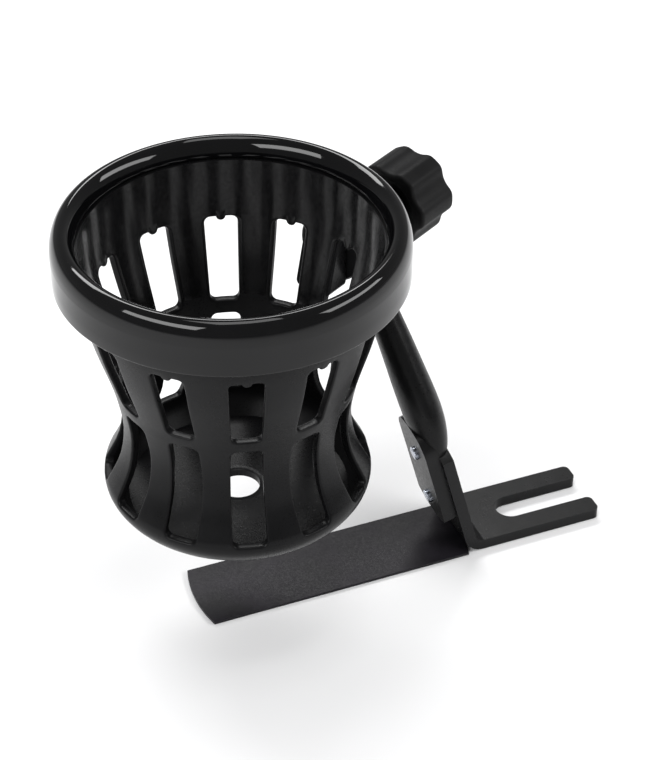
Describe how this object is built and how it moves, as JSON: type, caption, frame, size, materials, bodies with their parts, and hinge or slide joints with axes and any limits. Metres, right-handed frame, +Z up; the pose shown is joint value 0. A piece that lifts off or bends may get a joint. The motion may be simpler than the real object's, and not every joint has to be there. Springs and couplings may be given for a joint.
{
  "type": "desk cup holder",
  "caption": "Windowed drinks basket with a glossy rim ring, held by a knob-clamped ball joint on a bent arm, with a slotted angle bracket and a loose flat strip.",
  "frame": {"origin": "centre of the slot's closed round end, on the underside of the bracket's fork", "axes": "+Z up, square to the fork; +X along the fork towards its open tips; +Y completes a right-handed frame"},
  "size_m": [0.1872, 0.1161, 0.1517],
  "materials": {
    "basket_black": "satin",
    "ring_gloss": "high gloss",
    "housing_black": "satin",
    "knob_black": "matt",
    "nylon": "matt",
    "powder_black": "satin powder coat",
    "ball_metal": "bead blasted",
    "zinc": "bright zinc",
    "strip_rubber": "satin"
  },
  "bodies": {
    "bracket": {"bracket": "powder_black", "bracket_screws": "zinc", "arm": "powder_black", "strip": "strip_rubber"},
    "ball": {"ball": "ball_metal"},
    "seat": {"ball_seat": "nylon"},
    "basket": {"basket": "basket_black", "trim_ring": "ring_gloss", "socket_housing": "housing_black"},
    "pad": {"pressure_pad": "nylon"},
    "knob": {"knob": "knob_black", "clamp_screw": "zinc"}
  },
  "joints": [
    {"name": "arm_roll", "type": "hinge", "parent": "bracket", "child": "ball", "pos_m": [-0.05123, 0.02622, 0.11682], "axis": [-0.24, 0.3746, 0.8956], "range_deg": [-180, 180]},
    {"name": "cup_tilt", "type": "hinge", "parent": "ball", "child": "seat", "pos_m": [-0.05123, 0.02622, 0.11682], "axis": [-0.4479, 0.7758, -0.4445], "range_deg": [-6, 6]},
    {"name": "cup_swing", "type": "hinge", "parent": "seat", "child": "basket", "pos_m": [-0.05123, 0.02622, 0.11682], "axis": [0.866, 0.5, 0], "range_deg": [-64, 11]},
    {"name": "pad_slide", "type": "slide", "parent": "basket", "child": "pad", "axis": [0.866, 0.5, 0], "range_m": [0, 0.003]},
    {"name": "knob_turn", "type": "hinge", "parent": "pad", "child": "knob", "pos_m": [-0.05123, 0.02622, 0.11682], "axis": [0.866, 0.5, 0], "range_deg": [0, 1081]}
  ],
  "couplings": [
    {"joint": "knob_turn", "follows": "pad_slide", "rad_per_m": 6283.2}
  ]
}
